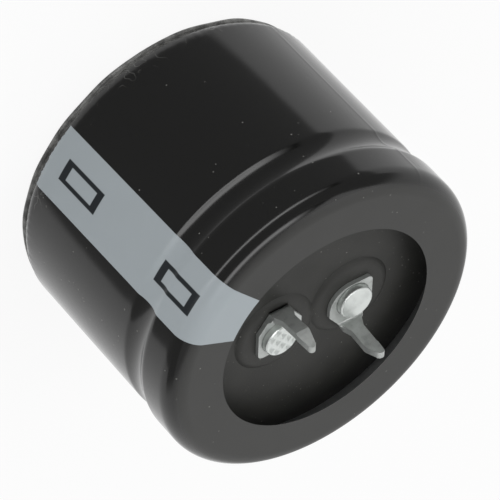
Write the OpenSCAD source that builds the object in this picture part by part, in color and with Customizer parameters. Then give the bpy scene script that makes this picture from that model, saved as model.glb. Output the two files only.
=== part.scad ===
// Can capacitor with two snap-in leads, standing on its closed end with its axis on Z.
// A drawn metal can is beaded below its sealing header and its rim is rolled over the rubber.
// A thin film sleeve is shrunk on the outside and folded over both ends.
// Both rivets lie on the X axis, the negative one at +X, and the leads are point symmetric.

/* [Can] */
// Outer diameter of the drawn can
can_d = 34.9; // [34.3:0.1:36]
// Height of the can from its closed end to the top of the rolled rim
can_height = 26.4; // [25:0.5:40]
// Thickness of the can's wall
can_wall = 0.5; // [0.35:0.05:0.6]
// Thickness of the closed end
can_floor = 0.9; // [0.7:0.1:1.3]
// Outer radius of the corner between the closed end and the wall
can_corner_r = 1.3; // [1:0.1:2]

/* [Vent] */
// Number of score lines that meet at the middle of the closed end
vent_arms = 3; // [3:1:4]
// Length of one score line from the middle
vent_arm_length = 9; // [6:0.5:12]
// Width of a score line
vent_score_w = 0.5; // [0.3:0.1:0.8]
// Depth of a score line
vent_score_depth = 0.5; // [0.3:0.1:0.6]

/* [Bead and rim] */
// Distance of the middle of the bead below the top of the rim
bead_drop = 6.75; // [6.5:0.05:8]
// Depth of the bead in the wall
bead_depth = 1.2; // [0.9:0.1:1.3]
// Radius of the hollow of the bead
bead_r = 1.3; // [1.1:0.1:1.6]
// Radius of the rounded shoulder on each side of the bead
bead_shoulder_r = 1.2; // [0.9:0.1:1.4]
// How far the flange between the bead and the rim stands outside the wall
flange_step = 0.3; // [0.1:0.05:0.5]
// Outer radius where the flange turns over at its top
rim_corner_r = 1.9; // [1.5:0.1:2.2]
// Width of the flat land on top of the rolled rim
rim_land = 0.15; // [0.1:0.05:0.6]
// Outer radius where the rolled rim turns down to the rubber
rim_turn_r = 0.95; // [0.8:0.05:1.2]

/* [Sleeve] */
// Thickness of the shrunk film
film_t = 0.15; // [0.1:0.01:0.25]
// Air between the film and what it is shrunk on
film_gap = 0.02; // [0.01:0.01:0.05]
// How far the film reaches in from the side of the flange over the rolled rim
film_ring_w = 5.75; // [4.5:0.05:6.5]
// How far the film reaches in from the wall over the closed end
film_lip_w = 3.65; // [2.5:0.05:6]
// How far the edge of the insulating disc at the closed end lies inside the wall
end_disc_inset = 0.85; // [0.7:0.05:2]
// Thickness of the insulating disc
end_disc_t = 0.35; // [0.25:0.05:0.5]
// Radius of the lower edge of the insulating disc
end_disc_edge_r = 0.12; // [0.06:0.02:0.12]
// How far the film follows the disc up under the corner of the can
film_tuck = 0.2; // [0.1:0.05:0.3]
// Depth of the hollow that the film makes where it bridges the bead
film_bead_depth = 0.33; // [0.2:0.01:0.45]

/* [Header] */
// Gap between the header board and the straight bore of the can
board_fit = 0.05; // [0.02:0.01:0.1]
// Thickness of the rigid header board
board_t = 1.6; // [1.2:0.1:2.2]
// Chamfer on the lower edge of the header board
board_chamfer = 0.3; // [0.2:0.05:0.4]
// Thickness of the rubber bonded on the board
rubber_t = 1.25; // [1:0.05:1.4]
// Gap between the rubber and the inside of the flange
rubber_fit = 0.05; // [0.02:0.01:0.1]
// Diameter of the top of the pad that the rubber forms round each terminal
swell_d = 7.4; // [7.2:0.1:7.5]
// Radius of the rounded slope of that pad
swell_r = 1.2; // [1:0.1:2]
// Height of that pad above the rubber
swell_h = 0.38; // [0.2:0.02:0.5]
// Gap left between stacked pieces that rest on each other
seat_gap = 0.02; // [0.01:0.01:0.04]

/* [Rivets] */
// Distance between the two rivets
rivet_pitch = 8.8; // [8.6:0.1:9]
// Diameter of the rivet shank
shank_d = 2.6; // [2:0.1:3]
// Gap round the shank in the pieces that it passes through
shank_fit = 0.03; // [0.02:0.01:0.08]
// Diameter of the outer rivet head
head_d = 3.75; // [3.5:0.05:3.8]
// Height of the outer rivet head above its seat
head_h = 0.82; // [0.6:0.02:1.1]
// Chamfer round the outer rivet head
head_chamfer = 0.12; // [0.05:0.01:0.2]
// Diameter of the inner rivet head
inner_head_d = 4.4; // [4:0.1:5]
// Height of the inner rivet head
inner_head_h = 0.8; // [0.5:0.1:1.2]
// Spacing of the pyramid pits that the tool leaves in the negative rivet head
pit_pitch = 0.92; // [0.84:0.02:0.96]
// Width of one pit
pit_w = 0.7; // [0.5:0.02:0.8]
// Depth of one pit
pit_depth = 0.26; // [0.1:0.02:0.3]
// Angle of the rows of pits from the X axis
pit_angle = 42; // [0:1:90]

/* [Leads] */
// Distance between the tips of the two leads
lead_pitch = 10.3; // [10:0.1:10.6]
// Distance of each lead from the plane halfway between the rivets
lead_offset = 4.2; // [4:0.05:4.3]
// Height of the lead tips above the film at the lead end
lead_length = 3.7; // [3.5:0.1:6.5]
// Thickness of the lead strip
strip_t = 0.8; // [0.6:0.05:0.8]
// Width of a lead above its shoulders
lead_w = 1.45; // [1.2:0.05:1.7]
// Width of a lead at its root, in the middle of the strip
lead_root_w = 2.2; // [2:0.1:2.6]
// Height above the rubber at which the shoulders start
shoulder_start = 1.15; // [1.1:0.05:1.3]
// Height above the rubber at which the shoulders end
shoulder_top = 2.1; // [1.8:0.1:2.6]
// Width of a lead at its tip
lead_tip_w = 0.85; // [0.7:0.05:1]
// Length of the tapered end of a lead
lead_tip_length = 1.7; // [1.2:0.1:2.2]
// How far the root of a lead stands outside its tip
lead_root_out = 0.17; // [0.1:0.01:0.25]
// How far the kink of a lead stands outside its tip
lead_kink_out = 0.52; // [0.4:0.02:0.6]
// Distance of the kink below the tip
lead_kink_drop = 2; // [1.8:0.1:2.4]
// Inside radius of the bend between the plate and the lead
bend_r = 0.3; // [0.2:0.05:0.4]

/* [Terminal plates] */
// Width of the plate that the rivet holds
plate_w = 5; // [4.8:0.05:5.6]
// Length of the plate beyond the middle of the rivet, away from the lead
plate_back = 2.05; // [2.05:0.05:2.4]
// Radius of the square corner of the plate
plate_corner_r = 0.6; // [0.3:0.05:0.8]
// Distance from the middle of the rivet to where the plate starts to narrow towards the lead
plate_front = 1.25; // [1:0.05:1.5]
// Gap between the rivet head and the side of the seat that it has pressed in the plate
seat_fit = 0.06; // [0.04:0.01:0.08]
// Depth of that seat
seat_depth = 0.12; // [0.08:0.02:0.2]

/* [Winding] */
// Gap between the wound element and the wall of the can
winding_gap = 0.65; // [0.3:0.05:2]
// Gap between the wound element and the bead above it
winding_headroom = 0.3; // [0.2:0.1:1]
// Diameter of the hole that the winding mandrel leaves
mandrel_d = 3.2; // [2.5:0.1:5]
// Number of steps between turns that show on each end of the element
turn_marks = 12; // [4:1:14]
// Width of one of these steps
turn_mark_w = 0.3; // [0.2:0.05:0.4]
// Depth of one of these steps
turn_mark_depth = 0.25; // [0.1:0.05:0.4]
// Width of the tape that closes the element
tape_w = 9; // [6:0.5:12]
// Thickness of that tape
tape_t = 0.08; // [0.05:0.01:0.12]
// Width of the foil tabs
tab_w = 4; // [3:0.1:4.4]
// Thickness of the foil tabs
tab_t = 0.25; // [0.15:0.05:0.3]
// Distance from the axis to the outside of a tab where it leaves the element
tab_reach = 8.6; // [8:0.1:10]
// Outer radius of the bend in a tab
tab_bend_r = 0.9; // [0.6:0.1:1.2]
// Diameter of the washers under the tabs
washer_d = 6; // [5.4:0.1:7]
// Thickness of the washers
washer_t = 0.5; // [0.3:0.05:0.7]

/* [Polarity stripe] */
// Angle of the middle of the stripe from the X axis
stripe_angle = -36; // [-60:1:-20]
// Angle that the stripe covers round the axis
stripe_span = 23; // [16:0.5:30]
// Height at which the printed band starts above the closed end
stripe_foot_z = 1.2; // [1:0.05:1.5]
// Thickness of the printed band
ink_t = 0.02; // [0.01:0.01:0.04]
// Angle that each minus mark covers across the stripe
mark_span = 7.8; // [6:0.2:10]
// Length of each minus mark along the axis
mark_length = 5.7; // [5:0.1:7]
// Height of the middle of the lower minus mark
mark_low_z = 6.4; // [5:0.1:8]
// Height of the middle of the upper minus mark above the lower one
mark_spacing = 16.1; // [16:0.1:16.5]
// Width of the outline of a mark, along the axis
mark_line = 0.9; // [0.5:0.05:1.2]
// Angle of the outline of a mark, round the axis
mark_line_span = 1.5; // [1:0.1:2]

/* [Hidden] */
$fn = 96;

// Radii and heights of the can
body_r = can_d / 2;
flange_r = body_r + flange_step;
end_disc_r = body_r - end_disc_inset;
film_hole_r = flange_r - film_ring_w;
film_lip_r = body_r - film_lip_w;
disc_z = film_t + film_gap;
can_z = disc_z + end_disc_t + seat_gap;
can_top_z = can_z + can_height;
bore_r = body_r - can_wall;
rim_land_r = flange_r - rim_corner_r;
rim_turn_x = rim_land_r - rim_land;

// Centres of the arcs of the bead: the hollow, and the shoulders below and above it
bead_z = can_top_z - bead_drop;
bead_x = body_r + bead_r - bead_depth;
low_x = body_r - bead_shoulder_r;
high_x = flange_r - bead_shoulder_r;
arc_sum = bead_r + bead_shoulder_r;
low_z = bead_z - sqrt(arc_sum ^ 2 - (bead_x - low_x) ^ 2);
high_z = bead_z + sqrt(arc_sum ^ 2 - (bead_x - high_x) ^ 2);

// The film leaves the can on the same upper shoulder and bridges the bead in a flatter arc
film_dip = film_bead_depth + flange_step;
film_arc_sum = ((high_z - bead_z) ^ 2 + film_dip ^ 2) / (2 * film_dip);
film_bead_r = film_arc_sum - bead_shoulder_r;
film_bead_x = body_r + film_bead_r - film_bead_depth;
film_low_z = bead_z - sqrt(film_arc_sum ^ 2 - (film_bead_x - low_x) ^ 2);

// The header sits on the bead with the foot of its chamfer
board_r = bore_r - board_fit;
board_foot_r = board_r - board_chamfer;
bead_inner_r = bead_r + can_wall;
board_z = bead_z + sqrt(bead_inner_r ^ 2 - (bead_x - board_foot_r) ^ 2) + seat_gap;
rubber_z = board_z + board_t;
rubber_r = flange_r - can_wall - rubber_fit;
header_z = rubber_z + rubber_t;

// Rivets and plates on the header
rivet_x = rivet_pitch / 2;
shank_r = shank_d / 2;
hole_r = shank_r + shank_fit;
seat_r = head_d / 2 + seat_fit;
plate_z = header_z + seat_gap;
seat_z = plate_z + strip_t - seat_depth;
head_z = seat_z + seat_gap;
tab_z = board_z - seat_gap - tab_t;
washer_z = tab_z - seat_gap - washer_t;
inner_head_z = washer_z - seat_gap - inner_head_h;
head_top_z = head_z + head_h;

// Leads, seen from the side: distances from the plane through both rivets
film_top_z = can_top_z + film_gap + film_t;
lead_top_z = film_top_z + lead_length;
lead_tip_y = sqrt((lead_pitch / 2) ^ 2 - lead_offset ^ 2);
lead_root_y = lead_tip_y + lead_root_out;
lead_outer_y = lead_root_y + strip_t / 2;
lead_kink_y = lead_tip_y + lead_kink_out;
lead_kink_z = lead_top_z - lead_kink_drop;
tip_start_z = lead_top_z - lead_tip_length;
bend_outer_r = bend_r + strip_t;
bend_y = lead_outer_y - bend_outer_r;
bend_z = plate_z + bend_outer_r;
neck_z = plate_z + strip_t + bend_r / 2;

// The front view of a lead is this much wider than the root, so that no two faces fall together
shoulder_margin = 0.05;
shoulder_x = lead_root_w / 2 + shoulder_margin;
shoulder_z = header_z + shoulder_start;

// Half width of a terminal where its bend starts, on the slope from the plate to the root
neck_slope = (plate_w - lead_root_w) / 2 / (lead_root_y - plate_front);
neck_x = lead_root_w / 2 + neck_slope * (lead_root_y - bend_y);

// The wound element stands on the closed end and stops below the bead
winding_z = can_z + can_floor + seat_gap;
winding_top_z = low_z - winding_headroom;
winding_r = bore_r - winding_gap;
mandrel_r = mandrel_d / 2;

// Overshoot of a cutter beyond the face that it cuts
cut = 1;

// Half section of a beaded can, moved out by a distance, for a hollow of the given radius and
// centre whose lower shoulder lies at from_z
module beaded_outline(out, hollow_r, hollow_x, from_z) {
    // closed end and its corner
    translate([0, can_z - out]) square([body_r - can_corner_r, from_z - can_z + out]);
    translate([body_r - can_corner_r, can_z + can_corner_r]) circle(r = can_corner_r + out);
    // straight wall up to the bead
    translate([0, can_z + can_corner_r]) square([body_r + out, from_z - can_z - can_corner_r]);
    // bead between its two shoulders
    difference() {
        polygon([[0, from_z], [low_x, from_z], [hollow_x, bead_z], [high_x, high_z], [0, high_z]]);
        translate([hollow_x, bead_z]) circle(r = hollow_r - out);
    }
    translate([low_x, from_z]) circle(r = bead_shoulder_r + out);
    translate([high_x, high_z]) circle(r = bead_shoulder_r + out);
    // flange and the turn at its top
    translate([0, high_z]) square([flange_r + out, can_top_z - rim_corner_r - high_z]);
    translate([rim_land_r, can_top_z - rim_corner_r]) circle(r = rim_corner_r + out);
    translate([0, high_z]) square([rim_land_r, can_top_z - high_z + out]);
}

module can_outline(out) {
    beaded_outline(out, bead_r, bead_x, low_z);
}

// Form that the film takes on the can
module bridged_outline(out) {
    beaded_outline(out, film_bead_r, film_bead_x, film_low_z);
}

// Half section of the insulating disc, moved out by a distance and tucked up under the can
module disc_outline(out, tuck) {
    rounded_x = end_disc_r - end_disc_edge_r;
    translate([0, disc_z - out]) square([rounded_x, end_disc_t + out + tuck]);
    translate([rounded_x, disc_z + end_disc_edge_r]) circle(r = end_disc_edge_r + out);
    translate([0, disc_z + end_disc_edge_r]) square([end_disc_r + out, end_disc_t - end_disc_edge_r + tuck]);
}

// Half section of everything that the film encloses, moved out by a distance
module wrapped_outline(out) {
    bridged_outline(out);
    disc_outline(out, film_tuck);
}

// Rolled rim from the land on top to its edge on the rubber
module rim_turn_outline() {
    turn_z = can_top_z - rim_turn_r;
    edge_z = header_z + seat_gap;
    intersection() {
        translate([rim_turn_x, turn_z]) difference() {
            circle(r = rim_turn_r);
            circle(r = rim_turn_r - can_wall);
        }
        translate([rim_turn_x - rim_turn_r, turn_z]) square(rim_turn_r);
    }
    translate([rim_turn_x - rim_turn_r, edge_z]) square([can_wall, turn_z - edge_z]);
}

module can_section() {
    difference() {
        can_outline(0);
        // inside of the wall, above the closed end
        intersection() {
            can_outline(-can_wall);
            translate([0, can_z + can_floor]) square([flange_r, can_height]);
        }
        // open mouth inside the rolled rim
        translate([0, can_top_z - can_wall - cut]) square([rim_turn_x, can_wall + 2 * cut]);
    }
    rim_turn_outline();
}

module vent_scores() {
    for (arm = [0 : vent_arms - 1]) {
        rotate([0, 0, arm * 360 / vent_arms]) {
            translate([0, -vent_score_w / 2, can_z - cut])
                cube([vent_arm_length, vent_score_w, vent_score_depth + cut]);
        }
    }
}

// Pyramid pit with its wide end up, made where two crossed wedges meet
module pyramid_pit() {
    intersection() {
        pit_wedge();
        rotate([0, 0, 90]) pit_wedge();
    }
}

module pit_wedge() {
    rotate([90, 0, 0]) linear_extrude(height = pit_w, center = true)
        polygon([[-pit_w / 2, 0], [0, -pit_depth], [pit_w / 2, 0], [pit_w / 2, cut], [-pit_w / 2, cut]]);
}

// Shank and both heads of a rivet, on the axis
module rivet() {
    straight_h = head_h - head_chamfer;
    translate([0, 0, inner_head_z]) cylinder(h = inner_head_h, d = inner_head_d);
    translate([0, 0, inner_head_z]) cylinder(h = head_z - inner_head_z, r = shank_r);
    translate([0, 0, head_z]) cylinder(h = straight_h, d = head_d);
    translate([0, 0, head_z + straight_h])
        cylinder(h = head_chamfer, r1 = head_d / 2, r2 = head_d / 2 - head_chamfer);
}

// Square grid of pits over the rivet head, the outer ones open at its edge
module head_pits() {
    reach = floor(head_d / pit_pitch);
    last_r = head_d / 2 - pit_w / 2;
    for (row = [-reach : reach], col = [-reach : reach]) {
        x = (row + 0.5) * pit_pitch;
        y = (col + 0.5) * pit_pitch;
        if (norm([x, y]) < last_r) {
            rotate([0, 0, pit_angle]) translate([x, y, head_top_z]) pyramid_pit();
        }
    }
}

// Side view of a terminal: plate, bend and kinked lead, drawn with -Y to the left
module terminal_side() {
    half_t = strip_t / 2;
    translate([-bend_y, plate_z]) square([bend_y + plate_back, strip_t]);
    intersection() {
        translate([-bend_y, bend_z]) difference() {
            circle(r = bend_outer_r);
            circle(r = bend_r);
        }
        translate([-bend_y - bend_outer_r, plate_z]) square(bend_outer_r);
    }
    polygon([
        [-lead_root_y - half_t, bend_z],
        [-lead_kink_y - half_t, lead_kink_z],
        [-lead_tip_y - half_t, lead_top_z],
        [-lead_tip_y + half_t, lead_top_z],
        [-lead_kink_y + half_t, lead_kink_z],
        [-lead_root_y + half_t, bend_z]
    ]);
}

// Front view of a lead: neck, shoulders, straight part and tapered round tip
module lead_front() {
    tip_r = lead_tip_w / 2;
    polygon([
        [-neck_x, header_z],
        [-neck_x, neck_z],
        [-shoulder_x, shoulder_z],
        [-lead_w / 2, header_z + shoulder_top],
        [-lead_w / 2, tip_start_z],
        [-tip_r, lead_top_z - tip_r],
        [tip_r, lead_top_z - tip_r],
        [lead_w / 2, tip_start_z],
        [lead_w / 2, header_z + shoulder_top],
        [shoulder_x, shoulder_z],
        [neck_x, neck_z],
        [neck_x, header_z]
    ]);
    translate([0, lead_top_z - tip_r]) circle(r = tip_r);
}

// Plan of a lead, moved out by a distance: it narrows evenly from the plate to its root and
// runs on from there
module lead_plan(out, end_y) {
    half_w = plate_w / 2 + out;
    front = plate_front + out;
    root_x = lead_root_w / 2 + out;
    polygon([
        [-half_w, -front],
        [-root_x, -lead_root_y],
        [-root_x, -end_y],
        [root_x, -end_y],
        [root_x, -lead_root_y],
        [half_w, -front]
    ]);
}

// Plan of the plate up to the bend, moved out by a distance: round on one side, square on the
// other, and narrowing towards the lead
module plate_plan(out) {
    half_w = plate_w / 2 + out;
    back = plate_back + out;
    front = plate_front + out;
    corner_x = half_w - plate_corner_r;
    corner_y = back - plate_corner_r;
    bend_x = neck_x + out;
    intersection() {
        translate([0, back - half_w]) circle(r = half_w);
        translate([-half_w, -front]) square([half_w, 2 * half_w]);
    }
    translate([-half_w, -front]) square([2 * half_w, front + back - half_w]);
    translate([0, -front]) square([half_w, front + corner_y]);
    translate([0, -front]) square([corner_x, front + back]);
    translate([corner_x, corner_y]) circle(r = plate_corner_r);
    polygon([[-half_w, -front], [half_w, -front], [bend_x, -bend_y], [-bend_x, -bend_y]]);
}

// One stamped terminal for the rivet at +X, with its lead on the -Y side
module terminal() {
    over_y = lead_kink_y + strip_t;
    difference() {
        translate([lead_offset, 0, 0]) union() {
            translate([0, 0, plate_z]) linear_extrude(height = strip_t) plate_plan(0);
            // bend and lead, where the prisms of their three views meet
            intersection() {
                rotate([90, 0, 90]) linear_extrude(height = plate_w, center = true) terminal_side();
                rotate([90, 0, 0]) linear_extrude(height = over_y) lead_front();
                translate([0, 0, plate_z - cut])
                    linear_extrude(height = lead_top_z - plate_z + 2 * cut) lead_plan(0, over_y + cut);
            }
        }
        translate([rivet_x, 0, seat_z]) cylinder(h = strip_t, r = seat_r);
        translate([rivet_x, 0, plate_z - cut]) cylinder(h = strip_t + 2 * cut, r = hole_r);
    }
}

// Vertical leg out of the wound element, bend, and flat end held by the rivet at +X
module foil_tab() {
    bend_x = tab_reach - tab_bend_r;
    top_z = tab_z + tab_t;
    flat_end_x = rivet_x - tab_w / 2;
    difference() {
        rotate([90, 0, 0]) linear_extrude(height = tab_w, center = true) {
            translate([flat_end_x, tab_z]) square([bend_x - flat_end_x, tab_t]);
            intersection() {
                translate([bend_x, top_z - tab_bend_r]) difference() {
                    circle(r = tab_bend_r);
                    circle(r = tab_bend_r - tab_t);
                }
                translate([bend_x, top_z - tab_bend_r]) square(tab_bend_r);
            }
            translate([tab_reach - tab_t, winding_top_z + seat_gap])
                square([tab_t, top_z - tab_bend_r - winding_top_z - seat_gap]);
        }
        translate([rivet_x, 0, tab_z - cut]) cylinder(h = tab_t + 2 * cut, r = hole_r);
    }
}

module inner_washer() {
    translate([rivet_x, 0, washer_z]) difference() {
        cylinder(h = washer_t, d = washer_d);
        translate([0, 0, -cut]) cylinder(h = washer_t + 2 * cut, r = hole_r);
    }
}

// Holes for both rivets through the header
module rivet_holes() {
    for (side = [-1, 1]) {
        translate([side * rivet_x, 0, board_z - cut])
            cylinder(h = board_t + rubber_t + swell_h + 2 * cut, r = hole_r);
    }
}

// Low round pad of rubber pushed up round each terminal
module rubber_swells() {
    sink = swell_r - swell_h;
    for (side = [-1, 1]) {
        translate([side * rivet_x, 0, header_z]) rotate_extrude() {
            square([swell_d / 2, swell_h]);
            intersection() {
                translate([swell_d / 2, -sink]) circle(r = swell_r);
                square([swell_d, swell_h + cut]);
            }
        }
    }
}

// Room for both plates and the roots of their leads in the swollen rubber
module plate_rooms() {
    for (side = [0, 180]) {
        rotate([0, 0, side]) translate([lead_offset, 0, header_z]) linear_extrude(height = cut) {
            plate_plan(seat_gap);
            lead_plan(seat_gap, lead_outer_y + seat_gap);
        }
    }
}

// Wedge of a band round the axis between two heights, from inside the bead to outside the flange
module band_wedge(middle, span, z_from, z_to) {
    inner_r = body_r - bead_depth - cut;
    rotate([0, 0, middle - span / 2]) rotate_extrude(angle = span)
        translate([inner_r, z_from]) square([flange_r + cut - inner_r, z_to - z_from]);
}

// Outline of a minus mark: a rectangle without its middle
module mark_frame(mark_z) {
    half = mark_length / 2;
    difference() {
        band_wedge(stripe_angle, mark_span, mark_z - half, mark_z + half);
        band_wedge(stripe_angle, mark_span - 2 * mark_line_span,
            mark_z - half + mark_line, mark_z + half - mark_line);
    }
}

module can() {
    color("silver") difference() {
        rotate_extrude() can_section();
        vent_scores();
    }
}

module sleeve() {
    color([0.13, 0.13, 0.12]) rotate_extrude() difference() {
        wrapped_outline(film_gap + film_t);
        wrapped_outline(film_gap);
        translate([0, can_top_z]) square([film_hole_r, 2 * cut]);
        translate([0, -cut]) square([film_lip_r, disc_z + cut]);
    }
}

module end_disc() {
    color([0.16, 0.16, 0.16]) rotate_extrude() disc_outline(0, 0);
}

module header_rubber() {
    color([0.22, 0.22, 0.21]) difference() {
        union() {
            translate([0, 0, rubber_z]) cylinder(h = rubber_t, r = rubber_r);
            rubber_swells();
        }
        rivet_holes();
        plate_rooms();
    }
}

module header_board() {
    color([0.35, 0.25, 0.17]) difference() {
        union() {
            translate([0, 0, board_z]) cylinder(h = board_chamfer, r1 = board_foot_r, r2 = board_r);
            translate([0, 0, board_z + board_chamfer]) cylinder(h = board_t - board_chamfer, r = board_r);
        }
        rivet_holes();
    }
}

module negative_rivet() {
    color([0.82, 0.84, 0.82]) translate([rivet_x, 0, 0]) difference() {
        rivet();
        head_pits();
    }
}

module positive_rivet() {
    color([0.82, 0.84, 0.82]) translate([-rivet_x, 0, 0]) rivet();
}

module negative_terminal() {
    color([0.66, 0.68, 0.67]) terminal();
}

module positive_terminal() {
    color([0.66, 0.68, 0.67]) rotate([0, 0, 180]) terminal();
}

module negative_washer() {
    color("silver") inner_washer();
}

module positive_washer() {
    color("silver") rotate([0, 0, 180]) inner_washer();
}

module negative_tab() {
    color([0.75, 0.76, 0.77]) foil_tab();
}

module positive_tab() {
    color([0.75, 0.76, 0.77]) rotate([0, 0, 180]) foil_tab();
}

module wound_element() {
    mark_step = (winding_r - mandrel_r) / (turn_marks + 1);
    color([0.72, 0.62, 0.45]) rotate_extrude() difference() {
        translate([mandrel_r, winding_z]) square([winding_r - mandrel_r, winding_top_z - winding_z]);
        for (mark = [1 : turn_marks], end_z = [winding_z, winding_top_z]) {
            translate([mandrel_r + mark * mark_step - turn_mark_w / 2, end_z - turn_mark_depth])
                square([turn_mark_w, 2 * turn_mark_depth]);
        }
    }
}

module winding_tape() {
    middle_z = (winding_z + winding_top_z) / 2;
    color([0.55, 0.42, 0.2]) rotate_extrude()
        translate([winding_r + seat_gap, middle_z - tape_w / 2]) square([tape_t, tape_w]);
}

module polarity_stripe() {
    surface = film_gap + film_t;
    color([0.58, 0.61, 0.64]) difference() {
        rotate([0, 0, stripe_angle - stripe_span / 2]) rotate_extrude(angle = stripe_span) difference() {
            bridged_outline(surface + ink_t);
            wrapped_outline(surface);
            square([flange_r + cut, stripe_foot_z]);
            translate([0, can_top_z]) square([film_hole_r, 2 * cut]);
        }
        mark_frame(mark_low_z);
        mark_frame(mark_low_z + mark_spacing);
    }
}

can();
sleeve();
end_disc();
header_rubber();
header_board();
negative_rivet();
positive_rivet();
negative_terminal();
positive_terminal();
negative_washer();
positive_washer();
negative_tab();
positive_tab();
wound_element();
winding_tape();
polarity_stripe();
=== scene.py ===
"""Looks of a can capacitor with two snap-in leads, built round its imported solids.

The film sleeve and its printed band are surfaces of revolution with creases and wrinkles, the
stamped pieces are bevelled copies of their solids, and every surface has a procedural material.
"""

import math

import bmesh
import bpy
import numpy as np
from bpy.props import FloatProperty, FloatVectorProperty, PointerProperty
from bpy.types import Operator, Panel, PropertyGroup
from mathutils import Matrix


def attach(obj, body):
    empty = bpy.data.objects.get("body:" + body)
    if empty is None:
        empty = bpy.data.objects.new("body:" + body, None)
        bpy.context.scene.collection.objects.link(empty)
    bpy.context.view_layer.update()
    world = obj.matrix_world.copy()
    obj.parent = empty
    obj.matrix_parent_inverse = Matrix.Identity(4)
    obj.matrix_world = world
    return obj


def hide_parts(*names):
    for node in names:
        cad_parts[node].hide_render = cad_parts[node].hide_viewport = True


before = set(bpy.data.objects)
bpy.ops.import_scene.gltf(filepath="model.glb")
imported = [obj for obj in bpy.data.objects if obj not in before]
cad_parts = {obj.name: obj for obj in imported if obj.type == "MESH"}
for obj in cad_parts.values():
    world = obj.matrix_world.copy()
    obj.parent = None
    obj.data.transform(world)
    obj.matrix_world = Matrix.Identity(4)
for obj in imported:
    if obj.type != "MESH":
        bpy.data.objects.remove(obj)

bl_info = {
    "name": "Can capacitor",
    "version": (1, 0, 0),
    "blender": (4, 5, 0),
    "location": "3D View > Sidebar > Capacitor",
    "description": "Dresses a can capacitor with film, print, metal and rubber",
    "category": "Object",
}

MM = 0.001

# How copies of solids are cleaned: vertices closer than this merge, flatter edges dissolve.
MERGE_DISTANCE = 2e-7
FLAT_ANGLE = math.radians(0.6)
BEVEL_STEPS = 3
FACE_WEIGHT = 90

# Grids of the sleeve and the stripe. The inner side of the sleeve keeps one point in five, and
# beside a crease there are more columns, at these angles in degrees.
SLEEVE_COLUMNS = 360
STRIPE_COLUMNS = 70
INNER_STEP = 5
BESIDE_CREASE = (0.15, 0.35, 0.6, 1.0, 1.6, 2.6)

# Relief on the film, in millimetres: it starts above the foot, stops below the rim and grows to
# its full height over a soft stretch.
RELIEF_LOW = 1.5
RELIEF_SOFT = 2.0
CREASE_STOP = 0.04
WAVE_STOP = 0.94

# The shallower hollow under the print and the wrinkles at the foot are bell curves of the height.
# These are their half heights and the height of the deepest wrinkles, in millimetres.
PRINT_DIP_HALF = 1.5
WRINKLE_Z = 1.3
WRINKLE_HALF = 0.75

# The collar starts this far inside the disc's edge, and its two smooth steps are this long, in
# millimetres.
COLLAR_INSET = 1.6
COLLAR_RISE = 1.4
COLLAR_FALL = 0.36

# Ragged end of the stripe: height of its teeth in millimetres, weights that soften them, how fast
# the ink sinks into the film past them, and how many of its thicknesses it sinks at most.
RAGGED = 0.5
RAGGED_BLUR = (0.2, 0.3, 0.3, 0.2, 0.0)
INK_SLOPE = 2
INK_SINK = 2.5

# Heights in millimetres at which the film's finish changes: the matte ring, from the rim's top,
# the pale foot, partly frosted film and partly painted highlight, the disc's edge under it, folds.
RING_FADE = (-0.45, 0.1)
FOOT_FADE = (0.7, 1.4)
UNDER_FADE = (0.02, 0.16)
FOLD_FADE = (1.2, 3.4)

# How sharply the pull on the marks falls off with the square of the height from the bead.
PULL_SHARPNESS = 0.6

# Lamps stand at an azimuth and an elevation in degrees; size and distance are in metres. Each
# takes its power from the stage property of its name.
LAMPS = (
    {"name": "key", "size": 0.3, "azimuth": -150, "elevation": 60, "distance": 0.5},
    {"name": "fill", "size": 0.4, "azimuth": 20, "elevation": 50, "distance": 0.5},
)

# Strips of light: radii and heights of their lower and upper edges, in millimetres. They reach
# this many degrees to each side, fade between two of them, and are even in their middle part.
STRIPS = (
    {"name": "low_strip", "reach": (110, 110), "rise": (1, 24)},
    {"name": "high_strip", "reach": (370, 220), "rise": (350, 470)},
)
STRIP_HALF_SPAN = 60
STRIP_COLUMNS = 49
STRIP_FADE = (30, 58)
STRIP_CORE = 0.3

# Soft edges of what gloss sees: on the floor in metres, in the sky as a share of the horizon.
FRONT_SOFT = 1 * MM
APRON_HALF = 1 * MM
APRON_SOFT = 0.6 * MM
SKY_FRONT = (-0.35, -0.1)

# Height of the floor in metres, just under the part, and how grey it is to the lamps.
FLOOR_Z = -1e-5
FLOOR_GREY = 0.92

# Width of the camera's sensor in millimetres, which its focal length goes with, and the nearest
# and furthest that it sees, in metres.
SENSOR_W = 36
CLIP = (0.01, 10)


# Properties


def length(name, millimetres, description):
    """A length property whose default is given in millimetres."""
    return FloatProperty(
        name=name,
        description=description,
        default=millimetres * MM,
        unit="LENGTH",
        precision=6,
    )


def turn(name, degrees, description):
    """An angle property whose default is given in degrees."""
    return FloatProperty(
        name=name, description=description, default=math.radians(degrees), subtype="ANGLE"
    )


def colour(name, value, description):
    """A linear colour property."""
    return FloatVectorProperty(
        name=name, description=description, default=value, subtype="COLOR", min=0, max=1
    )


def number(name, value, description, unit="NONE"):
    """A number property, with a unit where one fits."""
    return FloatProperty(name=name, description=description, default=value, unit=unit)


def fraction(name, value, description):
    """A property from 0 to 1."""
    return FloatProperty(
        name=name, description=description, default=value, subtype="FACTOR", min=0, max=1
    )


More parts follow.
